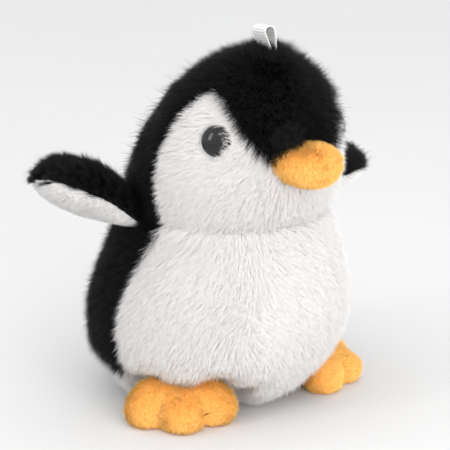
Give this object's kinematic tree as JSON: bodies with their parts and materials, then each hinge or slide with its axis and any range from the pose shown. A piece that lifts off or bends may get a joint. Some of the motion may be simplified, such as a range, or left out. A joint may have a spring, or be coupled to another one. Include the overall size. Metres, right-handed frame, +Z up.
{
  "type": "plush penguin",
  "caption": "Small seated stuffed penguin: furry black hood and back, white face and belly, short-pile orange beak and feet, flipper wings, bead eyes, ribbon loop on the crown.",
  "frame": {"origin": "centre of the flat base, on the surface the toy sits on", "axes": "+Z up, -Y the way the beak points, +X towards the penguin's own left wing"},
  "size_m": [0.1232, 0.0945, 0.1245],
  "materials": {
    "black_plush": "long-pile plush, soft sheen",
    "white_plush": "long-pile plush, soft",
    "grey_minky": "short-pile plush",
    "orange_minky": "short-pile plush",
    "polyester_filling": "loose fibre",
    "eye_plastic": "polished",
    "washer_plastic": "moulded",
    "ribbon": "ribbed woven ribbon"
  },
  "bodies": {
    "body": {"hood_left": "black_plush", "hood_right": "black_plush", "face_left": "white_plush", "face_right": "white_plush", "back_left": "black_plush", "back_right": "black_plush", "belly": "white_plush", "base_panel": "white_plush", "beak_upper": "orange_minky", "beak_lower": "orange_minky", "beak_stuffing": "polyester_filling", "eye_left": "eye_plastic", "eye_right": "eye_plastic", "eye_washer_left": "washer_plastic", "eye_washer_right": "washer_plastic", "head_stuffing": "polyester_filling", "body_stuffing": "polyester_filling"},
    "wing_left": {"wing_left_top": "black_plush", "wing_left_under": "grey_minky", "wing_left_stuffing": "polyester_filling"},
    "wing_right": {"wing_right_top": "black_plush", "wing_right_under": "grey_minky", "wing_right_stuffing": "polyester_filling"},
    "foot_left": {"foot_left_top": "orange_minky", "foot_left_sole": "orange_minky", "foot_left_stuffing": "polyester_filling"},
    "foot_right": {"foot_right_top": "orange_minky", "foot_right_sole": "orange_minky", "foot_right_stuffing": "polyester_filling"},
    "loop": {"hanging_loop": "ribbon"}
  },
  "joints": [
    {"name": "wing_left_flap", "type": "hinge", "parent": "body", "child": "wing_left", "pos_m": [0.0306, -0.003, 0.0626], "axis": [0.1564, -0.9877, 0], "range_deg": [-40, 40], "stiffness_Nm_per_rad": 0.012},
    {"name": "wing_right_flap", "type": "hinge", "parent": "body", "child": "wing_right", "pos_m": [-0.0306, -0.003, 0.0626], "axis": [0.2079, 0.9781, 0], "range_deg": [-60, 20], "stiffness_Nm_per_rad": 0.012},
    {"name": "foot_left_flex", "type": "hinge", "parent": "body", "child": "foot_left", "pos_m": [0.02385, -0.01402, 0.005], "axis": [-0.6947, -0.7193, 0], "range_deg": [-25, 0], "stiffness_Nm_per_rad": 0.006},
    {"name": "foot_right_flex", "type": "hinge", "parent": "body", "child": "foot_right", "pos_m": [-0.02175, -0.01478, 0.005], "axis": [-0.866, 0.5, 0], "range_deg": [-25, 0], "stiffness_Nm_per_rad": 0.006},
    {"name": "loop_swing", "type": "hinge", "parent": "body", "child": "loop", "pos_m": [0, -0.0322, 0.1149], "axis": [0, 1, 0], "range_deg": [-50, 50], "stiffness_Nm_per_rad": 0.0003}
  ]
}
